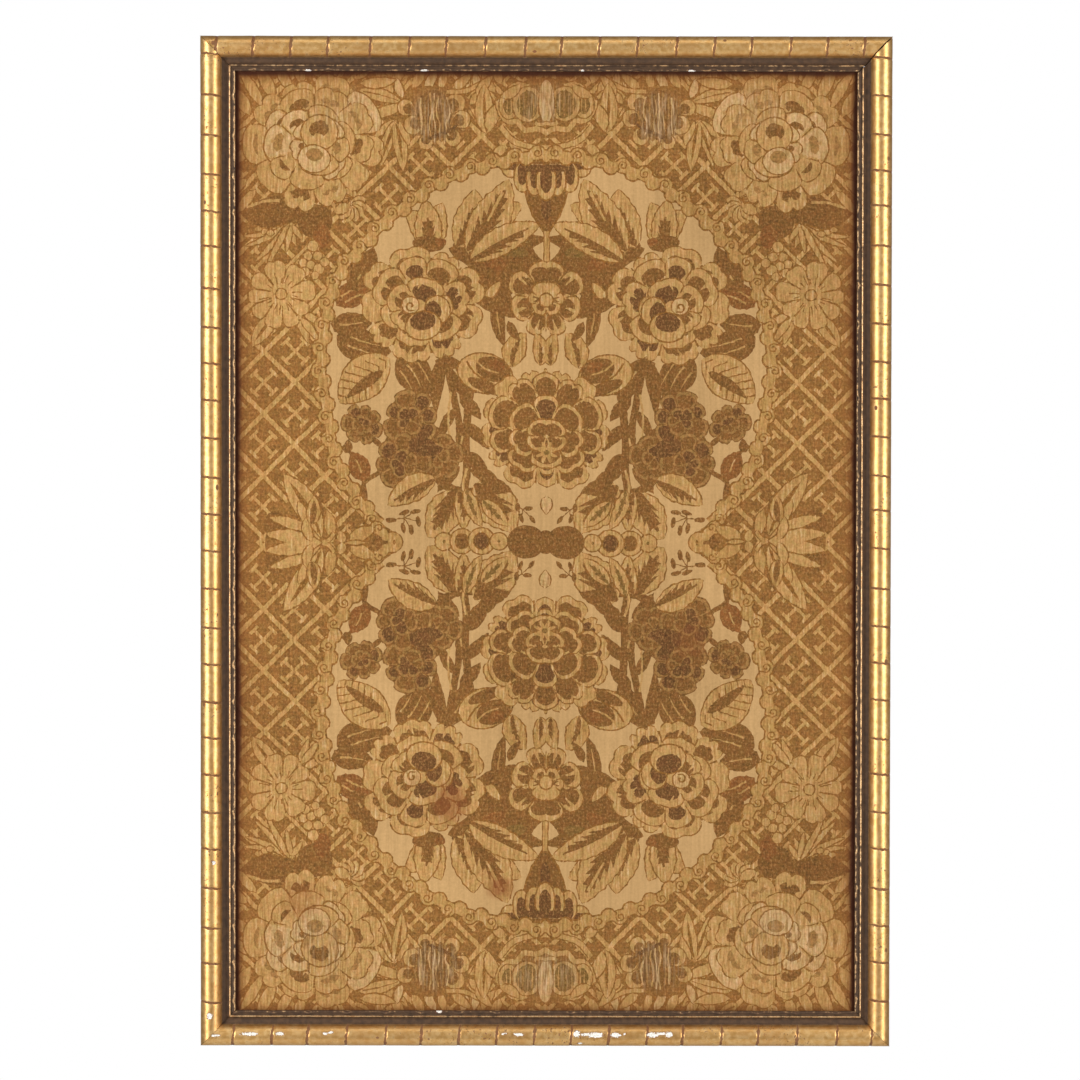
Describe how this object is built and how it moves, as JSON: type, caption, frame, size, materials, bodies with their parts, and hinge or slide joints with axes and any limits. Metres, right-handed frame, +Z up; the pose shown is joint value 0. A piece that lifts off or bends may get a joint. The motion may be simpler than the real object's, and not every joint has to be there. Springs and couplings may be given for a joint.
{
  "type": "brocade panel in a gilt bamboo-pattern frame",
  "caption": "Figured silk brocade held taut in a narrow gilt frame carved as bamboo, with a dark cove, a fine bead and a sight lip round the cloth.",
  "frame": {"origin": "on the flat back of the top rail, half way along it and half way across it, where the wall takes the panel", "axes": "+Z up, +Y from the front of the panel to the wall behind it, +X to the right as seen from the front"},
  "size_m": [0.6208, 0.0199, 0.9077],
  "materials": {
    "gilt_wood": "water gilding over red bole, rubbed and chipped, with a dark brown cove",
    "silk_brocade": "figured silk in old gold on brown, soft sheen, worn along the threads"
  },
  "bodies": {
    "root": {"rail_top": "gilt_wood", "rail_bottom": "gilt_wood", "rail_left": "gilt_wood", "rail_right": "gilt_wood", "cloth": "silk_brocade"}
  },
  "joints": []
}
